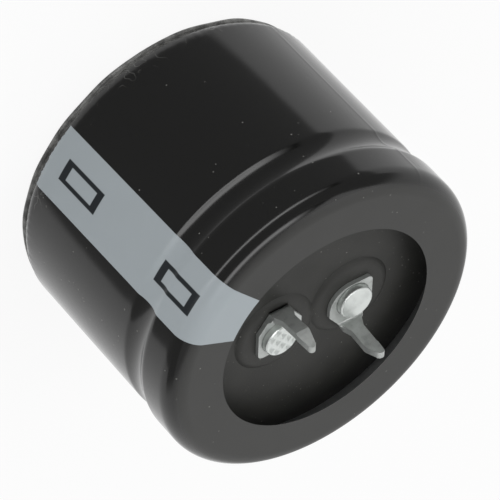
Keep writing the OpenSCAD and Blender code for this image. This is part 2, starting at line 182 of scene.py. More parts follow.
class FilmProperties(PropertyGroup):
    """Outline that the film is shrunk on, as in the solids."""

    body_r: length("Body radius", 17.45, "Radius of the can's wall")
    flange_r: length("Flange radius", 17.75, "Radius of the can above the bead")
    corner_r: length("Corner radius", 1.3, "Corner at the closed end of the can")
    can_z: length("Can foot", 0.54, "Height of the can's closed end")
    can_top: length("Can top", 26.94, "Height of the top of the rolled rim")
    disc_z: length("Disc foot", 0.17, "Height of the lower face of the end disc")
    disc_r: length("Disc radius", 16.6, "Radius of the end disc")
    disc_edge_r: length("Disc edge", 0.12, "Lower edge of the end disc")
    bead_drop: length("Bead drop", 6.75, "Middle of the bead below the top of the rim")
    bead_depth: length("Bridge depth", 0.27, "Depth of the film's hollow over the bead")
    bead_r: length("Bridge radius", 3.6, "Radius of that hollow")
    shoulder_r: length("Shoulder radius", 1.2, "Rounded shoulders beside the bead")
    rim_r: length("Rim radius", 1.9, "Outer radius where the flange turns over")
    gap: length("Film gap", 0.02, "Air between the film and the can")
    thickness: length("Film thickness", 0.15, "Thickness of the film")
    hole_r: length("Hole radius", 12, "Hole in the film at the lead end")
    lip_r: length("Lip radius", 13.8, "Hole in the film at the closed end")
    crease_angle: turn("Crease angle", -128.5, "Where the flattened tube was creased")
    crease_height: length("Crease height", 0.03, "Height of the ridge that the crease leaves")
    crease_w: length("Crease width", 0.16, "Half width of that ridge")
    wave_height: length("Wave height", 0.006, "Height of the soft waves in the film")
    wrinkle_height: length("Wrinkle height", 0.07, "Depth of the wrinkles at the closed end")
    collar: length("Collar", 0.5, "How far the drawn-in film stands out round the end disc")
    collar_z: length("Collar height", 0.32, "Height up to which the film stands out there")
    print_fill: length("Fill under print", 0.12, "How much shallower the hollow is at the stripe")
    print_angle: turn("Fill angle", -33, "Where the hollow is shallowest")
    print_span: turn("Fill span", 15, "Angle on each side over which the hollow gets shallower")
    tint: colour("Film colour", (0.006, 0.006, 0.0056), "Colour of the film")
    fold_tint: colour("Fold colour", (0.16, 0.16, 0.15), "Colour of the fine folds at the foot")
    grain_tint: colour("Grain colour", (0.03, 0.03, 0.028), "Colour of the grain on the ring")
    dust_tint: colour("Dust colour", (0.25, 0.25, 0.23), "Colour of the dust on the film")
    # The pale band at the foot is partly frosted drawn film and partly a painted highlight.
    frost_and_highlight_tint: colour("Drawn colour", (0.3, 0.3, 0.29), "Colour of the strained film at the foot")
    ring_tint: colour("Ring colour", (0.031, 0.031, 0.029), "Colour of the matte ring")


class PrintProperties(PropertyGroup):
    """The polarity band and its hollow marks."""

    angle: turn("Stripe angle", -36, "Middle of the stripe round the axis")
    span: turn("Stripe span", 23.2, "Angle that the stripe covers")
    foot_turn: turn("Foot turn", 1.75, "How far the stripe's foot is turned from its other end")
    ink: length("Ink thickness", 0.02, "Thickness of the printed band")
    foot_z: length("Stripe foot", 1.2, "Height at which the stripe ends at the closed end")
    mark_span: turn("Mark span", 7.8, "Angle that a minus mark covers")
    mark_length: length("Mark length", 5.95, "Length of a minus mark")
    mark_z: length("Lower mark", 6.55, "Height of the middle of the lower minus mark")
    mark_step: length("Mark spacing", 16.0, "Distance between the minus marks")
    mark_line: length("Mark line", 0.9, "Width of a mark's outline along the axis")
    pull: turn("Print pull", 0.42, "How far the marks are pulled round in the hollow of the bead")
    mark_side: turn("Mark side", 1.5, "Width of a mark's outline round the axis")
    tint: colour("Stripe colour", (0.41, 0.455, 0.48), "Colour of the printed band")
    grain_tint: colour("Grain colour", (0.4, 0.43, 0.46), "Colour of the grain in the ink")
    mark_tint: colour("Mark colour", (0.012, 0.016, 0.02), "Colour of the marks")


class MetalProperties(PropertyGroup):
    """Rivets and stamped terminals."""

    strip_bevel: length("Strip bevel", 0.2, "Rounding of the stamped edges")
    head_bevel: length("Head bevel", 0.04, "Rounding of the rivet's edges")
    tint: colour("Metal colour", (0.5, 0.52, 0.505), "Colour of the tinned strip")
    head_tint: colour("Head colour", (0.69, 0.72, 0.7), "Colour of the rivet heads")


class HeaderProperties(PropertyGroup):
    """Rubber face of the header."""

    tint: colour("Rubber colour", (0.028, 0.028, 0.025), "Colour of the rubber")
    dust_tint: colour("Dust colour", (0.22, 0.22, 0.2), "Colour of the dust on it")


class InsideProperties(PropertyGroup):
    """What the film and the header hide."""

    can_tint: colour("Can colour", (0.62, 0.63, 0.64), "Colour of the can and the tabs")
    washer_tint: colour("Washer colour", (0.6, 0.61, 0.62), "Colour of the washers")
    winding_tint: colour("Winding colour", (0.5, 0.36, 0.2), "Colour of the wound element")
    tape_tint: colour("Tape colour", (0.32, 0.18, 0.05), "Colour of the tape round it")
    board_tint: colour("Board colour", (0.12, 0.07, 0.035), "Colour of the header board")
    card_tint: colour("Card colour", (0.016, 0.016, 0.016), "Colour of the end disc")


class StageProperties(PropertyGroup):
    """Floor, light and camera."""

    azimuth: turn("Azimuth", -61, "Side on which the camera stands")
    elevation: turn("Elevation", 33.33, "Height angle of the camera")
    roll: turn("Roll", 136.9, "Turn of the camera round its own axis")
    distance: length("Distance", 412, "Distance from the target to the camera")
    target: FloatVectorProperty(
        name="Target",
        description="Point that the camera looks at",
        default=(-0.003, 0.0058, 0.0103),
        subtype="TRANSLATION",
    )
    lens: number("Lens", 298.6, "Focal length in millimetres for a 36 mm sensor", "CAMERA")
    floor_w: length("Floor width", 1200, "Width of the floor")
    floor_keep: fraction("Floor white", 0.9, "Share of plain white in what is seen of the floor")
    world: number("World light", 0.7, "Strength of the world on what isn't seen directly")
    key: number("Key light", 0.35, "Power of the key lamp", "POWER")
    fill: number("Fill light", 0.12, "Power of the fill lamp", "POWER")
    front: fraction("Dark front", 0.32, "What gloss sees of the studio on the camera's side")
    front_gap: length("Front gap", 14, "Distance from the axis to the dark part of the floor")
    apron_r: length("Apron radius", 18.6, "Radius of the ring of pale floor beside the part")
    strip: number("Strip light", 4.6, "Strength of the two strips of light that gloss shows")


# Shader graph


class Signal:
    """One output socket of a shader graph, with arithmetic that adds Math nodes."""

    def __init__(self, graph, socket):
        self.graph = graph
        self.socket = socket

    def math(self, operation, *others, swap=False):
        """Adds a Math node on this signal and others, which come first if swap is set."""
        terms = [self, *others]
        if swap:
            terms.reverse()
        inputs = dict(enumerate(terms))
        return self.graph.out("ShaderNodeMath", {"operation": operation}, inputs)

    def __add__(self, other):
        return self.math("ADD", other)

    def __radd__(self, other):
        return self.math("ADD", other)

    def __sub__(self, other):
        return self.math("SUBTRACT", other)

    def __rsub__(self, other):
        return self.math("SUBTRACT", other, swap=True)

    def __mul__(self, other):
        return self.math("MULTIPLY", other)

    def __rmul__(self, other):
        return self.math("MULTIPLY", other)

    def __abs__(self):
        return self.math("ABSOLUTE")

    def step(self, low, high):
        """Smooth step from 0 at low to 1 at high."""
        settings = {"interpolation_type": "SMOOTHSTEP"}
        return self.graph.out(
            "ShaderNodeMapRange", settings, {"Value": self, "From Min": low, "From Max": high}
        )

    def inside(self, half, soft):
        """1 where the size of the signal is below half, with a soft edge."""
        return 1.0 - abs(self).step(half - soft, half + soft)


def shaded(tint, factor):
    """A colour made darker or paler, at most white."""
    return tuple(min(1.0, part * factor) for part in tint)


class Graph:
    """Node tree of one material or world, built through one method."""

    def __init__(self, owner):
        self.owner = owner
        self.owner.use_nodes = True
        self.tree = self.owner.node_tree
        self.tree.nodes.clear()

    @classmethod
    def of_material(cls, name):
        """Graph of a new material."""
        return cls(bpy.data.materials.new(name))

    def node(self, kind, settings=None, inputs=None):
        """Adds a node, sets its settings, and sets or links its inputs."""
        node = self.tree.nodes.new(kind)
        for key, value in (settings or {}).items():
            setattr(node, key, value)
        for key, value in (inputs or {}).items():
            self.feed(node.inputs[key], value)
        return node

    def feed(self, socket, value):
        """Links a signal to an input socket, or sets the socket's value."""
        if isinstance(value, Signal):
            self.tree.links.new(value.socket, socket)
        else:
            socket.default_value = value

    def out(self, kind, settings=None, inputs=None, output=0):
        """Adds a node and returns one of its outputs."""
        node = self.node(kind, settings, inputs)
        return Signal(self, node.outputs[output])

    def place(self):
        """Object coordinates in millimetres, as a vector and as x, y and z."""
        vector = self.out("ShaderNodeTexCoord", output="Object")
        vector = self.out(
            "ShaderNodeVectorMath", {"operation": "SCALE"}, {0: vector, "Scale": 1 / MM}
        )
        parts = self.node("ShaderNodeSeparateXYZ", None, {0: vector})
        return vector, *[Signal(self, parts.outputs[axis]) for axis in range(3)]

    def noise(self, vector, scale, detail=2.0, roughness=0.5):
        """Noise from 0 to 1; scale counts features in one millimetre."""
        inputs = {"Vector": vector, "Scale": scale, "Detail": detail, "Roughness": roughness}
        return self.out("ShaderNodeTexNoise", None, inputs)

    def specks(self, vector, scale, share, size):
        """1 on small scattered specks: cells of a Voronoi pattern that a random value picks."""
        cells = self.node("ShaderNodeTexVoronoi", None, {"Vector": vector, "Scale": scale})
        distance = Signal(self, cells.outputs["Distance"])
        picked = self.node("ShaderNodeSeparateXYZ", None, {0: Signal(self, cells.outputs["Color"])})
        chance = Signal(self, picked.outputs[0]).step(1.0 - share, 1.0 - share * 0.8)
        return chance * (1.0 - distance.step(size * 0.6, size))

    def mix(self, factor, first, second):
        """Colour between two colours."""
        node = self.node("ShaderNodeMix", {"data_type": "RGBA"})
        for index, value in ((0, factor), (6, first), (7, second)):
            if not isinstance(value, Signal) and index:
                value = (*value[:3], 1.0)
            self.feed(node.inputs[index], value)
        return Signal(self, node.outputs[2])

    def bump(self, height, distance, strength=1.0):
        """Normal from a height; distance is in millimetres."""
        inputs = {"Height": height, "Distance": distance * MM, "Strength": strength}
        return self.out("ShaderNodeBump", None, inputs)

    def finish(self, **inputs):
        """Closes the graph with one Principled BSDF, whose inputs are named with underscores."""
        names = {key.replace("_", " "): value for key, value in inputs.items()}
        for key, value in names.items():
            if key == "Base Color" and not isinstance(value, Signal):
                names[key] = (*value[:3], 1.0)
        shader = self.out("ShaderNodeBsdfPrincipled", None, names)
        self.node("ShaderNodeOutputMaterial", None, {"Surface": shader})
        return self.owner


def film_material(film):
    """Glossy dark film, matte ring, folds, dust, and a pale foot that is partly painted highlight.
    """
    g = Graph.of_material("film")
    p, _, _, z = g.place()
    top = film.can_top / MM
    ring = z.step(top + RING_FADE[0], top + RING_FADE[1])
    grain = g.noise(p, 9.0, 3.0)
    soft = g.noise(p, 0.35, 2.0)
    dust = g.specks(p, 1.7, 0.12, 0.17) + g.specks(p, 0.9, 0.1, 0.13) * 0.8
    dust = dust.math("MINIMUM", 1.0) * g.noise(p, 0.2).step(0.48, 0.6)
    foot = 1.0 - z.step(*FOOT_FADE)
    patch = (1.0 - z.step(*FOLD_FADE)) * g.noise(p, 0.3).step(0.46, 0.56)
    folds = 1.0 - abs(g.noise(p, 0.8, 1.0) - 0.5).step(0.006, 0.03)
    frost = g.noise(p, 1.1, 3.0).step(0.3, 0.75)
    tint = g.mix(ring, film.tint, film.ring_tint)
    # Pale foot: partly frosted film and partly a painted highlight where the corner catches light.
    frosted_and_highlighted = foot * z.step(*UNDER_FADE) * (0.25 + 0.6 * frost)
    tint = g.mix(frosted_and_highlighted, tint, film.frost_and_highlight_tint)
    tint = g.mix(folds * patch * 0.55, tint, film.fold_tint)
    tint = g.mix(grain.step(0.55, 0.8) * ring * 0.5, tint, film.grain_tint)
    tint = g.mix(dust * 0.8, tint, film.dust_tint)
    rough = 0.12 + 0.34 * ring + 0.05 * soft + 0.3 * dust + 0.12 * foot
    height = grain * ring * 0.5 + soft * 0.6 + dust + folds * patch
    normal = g.bump(height, 0.02, 0.6)
    return g.finish(Base_Color=tint, Roughness=rough, Normal=normal, IOR=1.45)


def stripe_material(film, ink):
    """Grey print with two hollow dark marks.

    Their outlines follow the height and the angle from the stripe's slanted middle line. A bell
    curve of the height pulls them round where the film sinks over the bead.
    """
    g = Graph.of_material("stripe_print")
    p, x, y, z = g.place()
    top = film.can_top / MM
    angle = y.math("ARCTAN2", x) - ink.angle - (top - z) * (ink.foot_turn / top)
    half_turn, half_length = ink.mark_span / 2, ink.mark_length / MM / 2
    line = ink.mark_line / MM
    away = (z - top + film.bead_drop / MM).math("POWER", 2.0)
    angle = angle - (away * -PULL_SHARPNESS).math("EXPONENT") * ink.pull
    turn_blur, height_blur = 0.003, 0.05
    marks = 0.0
    for number in range(2):
        height = z - (ink.mark_z + number * ink.mark_step) / MM
        outer = angle.inside(half_turn, turn_blur) * height.inside(half_length, height_blur)
        inner = angle.inside(half_turn - ink.mark_side, turn_blur)
        inner = inner * height.inside(half_length - line, height_blur)
        marks = outer - inner + marks
    cloud = g.noise(p, 0.5, 3.0)
    grain = g.noise(p, 14.0, 2.0)
    tint = g.mix(cloud * 0.25, ink.tint, shaded(ink.tint, 0.86))
    tint = g.mix(grain.step(0.5, 0.9) * 0.1, tint, ink.grain_tint)
    tint = g.mix(marks, tint, ink.mark_tint)
    rough = 0.3 + 0.08 * grain + z.step(top + RING_FADE[0], top) * 0.15
    return g.finish(Base_Color=tint, Roughness=rough, Normal=g.bump(grain, 0.004), IOR=1.4)


def rubber_material(header):
    """Matte rubber with a fine grain, soft clouds and scattered dust."""
    g = Graph.of_material("header_rubber")
    p = g.place()[0]
    cloud = g.noise(p, 0.28, 3.0)
    grain = g.noise(p, 7.0, 4.0, 0.6)
    dust = g.specks(p, 1.3, 0.2, 0.12) + g.specks(p, 3.1, 0.1, 0.19) * 0.6
    tint = g.mix(cloud.step(0.35, 0.7) * 0.5, header.tint, shaded(header.tint, 0.6))
    tint = g.mix(dust.math("MINIMUM", 1.0) * 0.6, tint, header.dust_tint)
    rough = 0.5 + 0.12 * grain
    normal = g.bump(grain * 0.7 + dust + cloud, 0.025, 0.7)
    return g.finish(Base_Color=tint, Roughness=rough, Normal=normal, IOR=1.42)


def metal_material(name, tint, rough, pits, dark=0.55, metallic=1.0):
    """Tinned or pressed metal: cloudy stains, fine dents and fine darker grime, spread at random.
    """
    g = Graph.of_material(name)
    p = g.place()[0]
    cloud = g.noise(p, 1.1, 3.0)
    dents = g.noise(p, 2.6, 3.0, 0.55)
    grain = g.noise(p, 16.0, 2.0)
    stained = g.mix(cloud.step(0.45, 0.75) * 0.6, tint, shaded(tint, dark))
    stained = g.mix(grain.step(0.55, 0.8) * 0.15, stained, shaded(tint, 0.7))
    shine = rough + 0.14 * cloud + 0.06 * grain
    normal = g.bump(dents + grain * 0.12, pits, 0.8)
    return g.finish(Base_Color=stained, Roughness=shine, Metallic=metallic, Normal=normal)


def turned_material(name, tint, rough, metallic, rings, streak=0.3):
    """Material with fine rings round the axis, as on drawn metal or a wound element."""
    g = Graph.of_material(name)
    p, x, y, z = g.place()
    radius = (x * x + y * y).math("SQRT")
    lines = (radius * rings + g.noise(p, 0.8) * 1.5 + z * 0.7).math("SINE")
    cloud = g.noise(p, 0.6, 3.0)
    shade = g.mix(lines.step(-0.4, 1.0) * streak, tint, shaded(tint, 0.6))
    shade = g.mix(cloud.step(0.4, 0.8) * 0.25, shade, shaded(tint, 0.75))
    shine = rough + 0.1 * cloud
    normal = g.bump(lines * 0.3 + cloud, 0.01)
    return g.finish(Base_Color=shade, Roughness=shine, Metallic=metallic, Normal=normal)


def fibre_material(name, tint, rough):
    """Card or laminate with short crossed fibres."""
    g = Graph.of_material(name)
    p = g.place()[0]
    thin, long = 6.0, 0.7
    along = g.out("ShaderNodeMapping", None, {"Vector": p, "Scale": (thin, long, 1.0)})
    across = g.out("ShaderNodeMapping", None, {"Vector": p, "Scale": (long, thin, 1.0)})
    fibres = g.noise(along, 1.0, 3.0) * 0.5 + g.noise(across, 1.0, 3.0) * 0.5
    cloud = g.noise(p, 0.3, 2.0)
    shade = g.mix(fibres.step(0.4, 0.7) * 0.4, tint, shaded(tint, 0.6))
    shade = g.mix(cloud * 0.2, shade, shaded(tint, 1.3))
    return g.finish(Base_Color=shade, Roughness=rough + 0.1 * cloud, Normal=g.bump(fibres, 0.015))


# Surfaces


def arc(centre, radius, start, end, step=5.0):
    """Points on a circular arc, angles in degrees."""
    count = max(3, int(abs(end - start) / step) + 2)
    turns = np.radians(np.linspace(start, end, count))
    return np.column_stack([centre[0] + radius * np.cos(turns), centre[1] + radius * np.sin(turns)])


def segment(start, end, step):
    """Points on a straight line between two points, both ends left out."""
    start, end = np.array(start, float), np.array(end, float)
    count = max(2, int(np.linalg.norm(end - start) / step) + 1)
    share = np.linspace(0, 1, count + 1)[1:-1, None]
    return start + (end - start) * share


def heading(start, end):
    """Direction from one point to another, in degrees."""
    return math.degrees(math.atan2(end[1] - start[1], end[0] - start[0]))


OUTLINE_KEYS = {
    "body_r", "flange_r", "corner_r", "can_z", "can_top", "disc_z", "disc_r", "disc_edge_r",
    "bead_drop", "bead_depth", "bead_r", "shoulder_r", "rim_r", "hole_r", "lip_r",
}  # fmt: skip


def film_outline(film, out, foot=True):
    """Half section of the film in millimetres, from the lip at the closed end to the hole.

    It runs along the end disc and its edge, the corner, the wall, the low shoulder, the hollow
    of the bead, the high shoulder, the flange, the turn of the rim and the ring, all moved out
    by one distance: radii that bulge outwards grow by it and the hollow of the bead shrinks.
    """
    f = {key: getattr(film, key) / MM for key in OUTLINE_KEYS}
    corner = (f["body_r"] - f["corner_r"], f["can_z"] + f["corner_r"])
    bead_z = f["can_top"] - f["bead_drop"]
    bead = (f["body_r"] + f["bead_r"] - f["bead_depth"], bead_z)
    reach = f["bead_r"] + f["shoulder_r"]
    low_x, high_x = f["body_r"] - f["shoulder_r"], f["flange_r"] - f["shoulder_r"]
    low = (low_x, bead_z - math.sqrt(reach**2 - (bead[0] - low_x) ** 2))
    high = (high_x, bead_z + math.sqrt(reach**2 - (bead[0] - high_x) ** 2))
    rim = (f["flange_r"] - f["rim_r"], f["can_top"] - f["rim_r"])
    disc_x = f["disc_r"] - f["disc_edge_r"]
    side_x = f["disc_r"] + out
    meet = -math.degrees(math.acos((side_x - corner[0]) / (f["corner_r"] + out)))
    meet_z = corner[1] + (f["corner_r"] + out) * math.sin(math.radians(meet))
    wall_x, flange_x, top_z = f["body_r"] + out, f["flange_r"] + out, f["can_top"] + out
    edge_z = f["disc_z"] + f["disc_edge_r"]
    up, down = heading(low, bead), heading(bead, high)
    parts = []
    if foot:
        parts += [
            [(f["lip_r"], f["disc_z"] - out)],
            segment((f["lip_r"], f["disc_z"] - out), (disc_x, f["disc_z"] - out), step=0.5),
            arc((disc_x, edge_z), f["disc_edge_r"] + out, -90, 0, step=15),
            segment((side_x, edge_z), (side_x, meet_z), step=0.08),
        ]
    parts += [
        arc(corner, f["corner_r"] + out, meet, 0, step=4),
        segment((wall_x, corner[1]), (wall_x, low[1]), step=0.4),
        arc(low, f["shoulder_r"] + out, 0, up),
        arc(bead, f["bead_r"] - out, up + 180, down)[1:-1],
        arc(high, f["shoulder_r"] + out, down - 180, 0),
        segment((flange_x, high[1]), (flange_x, rim[1]), step=0.3),
        arc(rim, f["rim_r"] + out, 0, 90, step=4),
        segment((rim[0], top_z), (f["hole_r"], top_z), step=0.3),
        [(f["hole_r"], top_z)],
    ]
    return np.vstack(parts)


def outward(outline):
    """Unit normals of an open half section, to the right of its direction of travel."""
    along = np.gradient(outline, axis=0)
    along /= np.linalg.norm(along, axis=1, keepdims=True)
    return np.column_stack([along[:, 1], -along[:, 0]])


def waves(turns, heights, seed, count, reach):
    """Mean of sines round and along the axis with random phases, between -1 and 1.

    There are count of them, each with a whole number of turns below reach.
    """
    random = np.random.default_rng(seed)
    total = np.zeros(np.broadcast(turns, heights).shape)
    for _ in range(count):
        around = random.integers(1, reach)
        along = random.uniform(-0.25, 0.25)
        phase = random.uniform(0, 2 * np.pi)
        total += np.sin(around * turns + along * heights + phase)
    return total / count


def apart(turns, line):
    """Signed angle from a line round the axis, between minus and plus half a turn."""
    return (turns - line + np.pi) % (2 * np.pi) - np.pi


def ramp(value):
    """0 below 0, 1 above 1 and a straight line between."""
    return np.clip(value, 0, 1)


def smooth(value):
    """0 below 0, 1 above 1 and 3 t^2 - 2 t^3 between."""
    share = ramp(value)
    return share * share * (3 - 2 * share)


def film_relief(film, turns, outline):
    """How far the film stands out from its plain form, in millimetres.

    Two creases, half a turn apart, are ridges that fall off as the exponential of the distance
    from their line. Soft waves, a mean of sines, cover the wall. The hollow over the bead is
    shallower at the stripe, by a bell curve of the height times one of the angle. Wrinkles
    gather at the corner of the closed end, where the film was drawn in: a bell curve of the
    height times folds, which are means of sines of the angle, times a slower uneven strength.
    """
    radius, height = outline[:, 0][None, :], outline[:, 1][None, :]
    top = film.can_top / MM
    foot = ramp((height - RELIEF_LOW) / RELIEF_SOFT)
    relief = np.zeros((turns.shape[0], outline.shape[0]))
    for line in (film.crease_angle, film.crease_angle + math.pi):
        away = np.abs(apart(turns, line)) * radius
        fade = foot * ramp((top - CREASE_STOP - height) / RELIEF_SOFT)
        relief += film.crease_height / MM * np.exp(-away / (film.crease_w / MM)) * fade
    wall = foot * ramp((top - WAVE_STOP - height) / RELIEF_SOFT)
    soft = waves(turns, height, seed=4, count=9, reach=9) - 1
    relief += film.wave_height / MM * soft * wall
    aside = apart(turns, film.print_angle) / film.print_span
    along = (height - (top - film.bead_drop / MM)) / PRINT_DIP_HALF
    relief += film.print_fill / MM * np.exp(-(along**2) - aside**2)
    corner = np.exp(-(((height - WRINKLE_Z) / WRINKLE_HALF) ** 2))
    strength = ramp(waves(turns, 0 * height, seed=12, count=6, reach=9) * 2.2 + 0.25)
    folds = np.abs(waves(turns + 0.05 * height, height * 3, seed=5, count=7, reach=90))
    folds += waves(turns, height * 6, seed=9, count=5, reach=140)
    relief -= film.wrinkle_height / MM * corner * strength * ramp(folds)
    return relief


def film_collar(film, turns, outline):
    """How far the film stands out from the axis round the end disc, in millimetres.

    A smooth step of the radius under the disc times a smooth step back down above the collar's
    height, times an uneven wave round the axis that makes it pucker.
    """
    radius, height = outline[:, 0][None, :], outline[:, 1][None, :]
    rise = smooth((radius - (film.disc_r / MM - COLLAR_INSET)) / COLLAR_RISE)
    fall = 1 - smooth((height - film.collar_z / MM) / COLLAR_FALL)
    pucker = 0.9 + 0.35 * waves(turns, 0 * height, seed=31, count=7, reach=23)
    return film.collar / MM * rise * fall * pucker


def add_grid(name, points, closed_rows, material, smooth_angle=40):
    """A mesh from a grid of points, closed along its columns and, if asked, along its rows."""
    rows, columns = points.shape[:2]
    index = np.arange(rows * columns).reshape(rows, columns)
    if closed_rows:
        index = np.vstack([index, index[:1]])
    index = np.hstack([index, index[:, :1]])
    quads = np.stack([index[:-1, :-1], index[1:, :-1], index[1:, 1:], index[:-1, 1:]], axis=-1)
    faces = quads.reshape(-1, 4).tolist()
    if not closed_rows:
        faces += [index[0, :-1].tolist(), index[-1, :-1][::-1].tolist()]
    mesh = bpy.data.meshes.new(name)
    mesh.from_pydata((points.reshape(-1, 3) * MM).tolist(), [], faces)
    mesh.validate()
    mesh.materials.append(material)
    mesh.shade_smooth()
    mesh.set_sharp_from_angle(angle=math.radians(smooth_angle))
    obj = bpy.data.objects.new(name, mesh)
    bpy.context.scene.collection.objects.link(obj)
    return obj


def seat(obj, slot, *nodes):
    """Puts a finished piece on the one body and hides the solids it stands for; slot is not used.
    """
    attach(obj, "root")
    if nodes:
        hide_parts(*nodes)
    return obj


def revolved(turns, sections):
    """Points of half sections turned about the axis, each point by its own angle."""
    radius, height = sections[..., 0], sections[..., 1]
    return np.stack([radius * np.cos(turns), radius * np.sin(turns), height + 0 * turns], axis=-1)


def film_turns(film):
    """Angles for the sleeve: even all round, and closer together beside the two creases."""
    turns = [np.linspace(0, 2 * np.pi, SLEEVE_COLUMNS, endpoint=False)]
    side = np.radians(BESIDE_CREASE)
    beside = np.concatenate([-side, [0.0], side])
    for line in (film.crease_angle, film.crease_angle + math.pi):
        turns.append((line + beside) % (2 * np.pi))
    return np.unique(np.concatenate(turns))


def copy_node(node, name, material, bevel, angle=35):
    """A copy of a solid with its flat triangles joined, rounded edges and smooth faces."""
    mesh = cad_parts[node].data.copy()
    mesh.name = name
    work = bmesh.new()
    work.from_mesh(mesh)
    bmesh.ops.remove_doubles(work, verts=work.verts, dist=MERGE_DISTANCE)
    bmesh.ops.dissolve_limit(work, angle_limit=FLAT_ANGLE, verts=work.verts, edges=work.edges)
    work.to_mesh(mesh)
    work.free()
    mesh.materials.clear()
    mesh.materials.append(material)
    mesh.shade_smooth()
    mesh.set_sharp_from_angle(angle=math.radians(angle))
    obj = bpy.data.objects.new(name, mesh)
    bpy.context.scene.collection.objects.link(obj)
    if bevel:
        round_off = obj.modifiers.new("edges", "BEVEL")
        round_off.width = bevel
        round_off.segments = BEVEL_STEPS
        round_off.limit_method = "ANGLE"
        round_off.angle_limit = math.radians(angle)
    even = obj.modifiers.new("flat faces", "WEIGHTED_NORMAL")
    even.weight = FACE_WEIGHT
    even.keep_sharp = True
    return obj


def paint(material, *nodes):
    """Gives solids that are shown as they are their material."""
    for node in nodes:
        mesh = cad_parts[node].data
        mesh.materials.clear()
        mesh.materials.append(material)


# Operators


class CAPACITOR_OT_sleeve(Operator):
    """Shrink the film sleeve on the can, with its creases and wrinkles"""

    bl_idname = "capacitor.sleeve"
    bl_label = "Film sleeve"

    def execute(self, context):
        film = context.scene.capacitor_film
        turns = film_turns(film)[:, None]
        gap, wall = film.gap / MM, film.thickness / MM
        outer = film_outline(film, gap + wall)
        inner = film_outline(film, gap)[::INNER_STEP][::-1]
        sections = outer[None] + outward(outer)[None] * film_relief(film, turns, outer)[..., None]
        sections[..., 0] += film_collar(film, turns, outer)
        inner = np.broadcast_to(inner, (len(turns), *inner.shape))
        points = revolved(turns, np.concatenate([sections, inner], axis=1))
        sleeve = add_grid("sleeve_film", points, True, film_material(film))
        seat(sleeve, "sleeve_film", "sleeve")
        return {"FINISHED"}


class CAPACITOR_OT_stripe(Operator):
    """Print the polarity band on the film, down to a ragged foot"""

    bl_idname = "capacitor.stripe"
    bl_label = "Polarity stripe"

    def execute(self, context):
        film, ink = context.scene.capacitor_film, context.scene.capacitor_print
        half = ink.span / 2
        turns = np.linspace(ink.angle - half, ink.angle + half, STRIPE_COLUMNS)[:, None]
        outline = film_outline(film, (film.gap + film.thickness) / MM, foot=False)
        foot, thick = ink.foot_z / MM, ink.ink / MM
        outline = outline[outline[:, 1] > foot - RAGGED]
        turns = turns + ink.foot_turn * (1 - outline[:, 1] * MM / film.can_top)[None]
        relief = film_relief(film, turns, outline)
        normals = outward(outline)
        top = outline[None] + normals[None] * (relief + thick)[..., None]
        under = outline[None] + normals[None] * (relief - thick)[..., None]
        random = np.random.default_rng(21)
        ragged = random.uniform(0, 1, STRIPE_COLUMNS + len(RAGGED_BLUR) - 1)
        ragged = np.convolve(ragged, RAGGED_BLUR, "valid")[:, None] * RAGGED
        low = np.clip((foot - outline[:, 1])[None] + ragged - RAGGED / 2, 0, None)
        sunk = np.clip(low * INK_SLOPE, 0, INK_SINK * thick)
        top = top - normals[None] * sunk[..., None]
        turns = np.concatenate([turns, turns[:, ::-1]], axis=1)
        points = revolved(turns, np.concatenate([top, under[:, ::-1]], axis=1))
        stripe = add_grid("stripe_print", points, False, stripe_material(film, ink))
        seat(stripe, "stripe_print", "polarity_stripe")
        return {"FINISHED"}


class CAPACITOR_OT_header(Operator):
    """Dress the rubber face of the header"""

    bl_idname = "capacitor.header"
    bl_label = "Header"

    def execute(self, context):
        rubber = rubber_material(context.scene.capacitor_header)
        face = copy_node("header_rubber", "header_face", rubber, bevel=0, angle=60)
        seat(face, "header_rubber", "header_rubber")
        return {"FINISHED"}


class CAPACITOR_OT_terminals(Operator):
    """Round off and finish the stamped terminals and the rivet heads"""

    bl_idname = "capacitor.terminals"
    bl_label = "Terminals"

    def execute(self, context):
        metal = context.scene.capacitor_metal
        strip = metal_material(
            "tinned_strip", metal.tint, rough=0.32, pits=0.06, dark=0.6, metallic=0.55
        )
        pressed = metal_material(
            "pressed_head", metal.head_tint, rough=0.28, pits=0.02, dark=0.8, metallic=0.85
        )
        for side in ("negative", "positive"):
            lead = copy_node(f"{side}_terminal", f"{side}_strip", strip, metal.strip_bevel)
            seat(lead, "lead_metal", f"{side}_terminal")
            rivet = copy_node(f"{side}_rivet", f"{side}_head", pressed, metal.head_bevel, angle=14)
            seat(rivet, "rivet_metal", f"{side}_rivet")
        return {"FINISHED"}


class CAPACITOR_OT_inside(Operator):
    """Finish the can and what it holds"""

    bl_idname = "capacitor.inside"
    bl_label = "Inside"

    def execute(self, context):
        inside = context.scene.capacitor_inside
        can = turned_material("can_metal", inside.can_tint, rough=0.3, metallic=1.0, rings=9.0)
        washer = turned_material(
            "washer_metal", inside.washer_tint, rough=0.32, metallic=1.0, rings=14.0
        )
        tab = metal_material("tab_foil", inside.can_tint, rough=0.28, pits=0.02)
        winding = turned_material(
            "winding", inside.winding_tint, rough=0.6, metallic=0.0, rings=18.0, streak=0.6
        )
        paint(can, "can")
        paint(washer, "negative_washer", "positive_washer")
        paint(tab, "negative_tab", "positive_tab")
        paint(winding, "wound_element")
        paint(fibre_material("winding_tape", inside.tape_tint, rough=0.4), "winding_tape")
        paint(fibre_material("header_board", inside.board_tint, rough=0.5), "header_board")
        paint(fibre_material("disc_card", inside.card_tint, rough=0.5), "end_disc")
        return {"FINISHED"}


# Stage


def seen(graph, keep):
    """Factor that is keep for camera rays, 1 for gloss and transmission and 0 for the rest."""
    rays = graph.node("ShaderNodeLightPath")
    total = Signal(graph, rays.outputs["Is Camera Ray"]) * keep
    for name in ("Is Glossy Ray", "Is Transmission Ray"):
        total = total.math("MAXIMUM", Signal(graph, rays.outputs[name]))
    return total


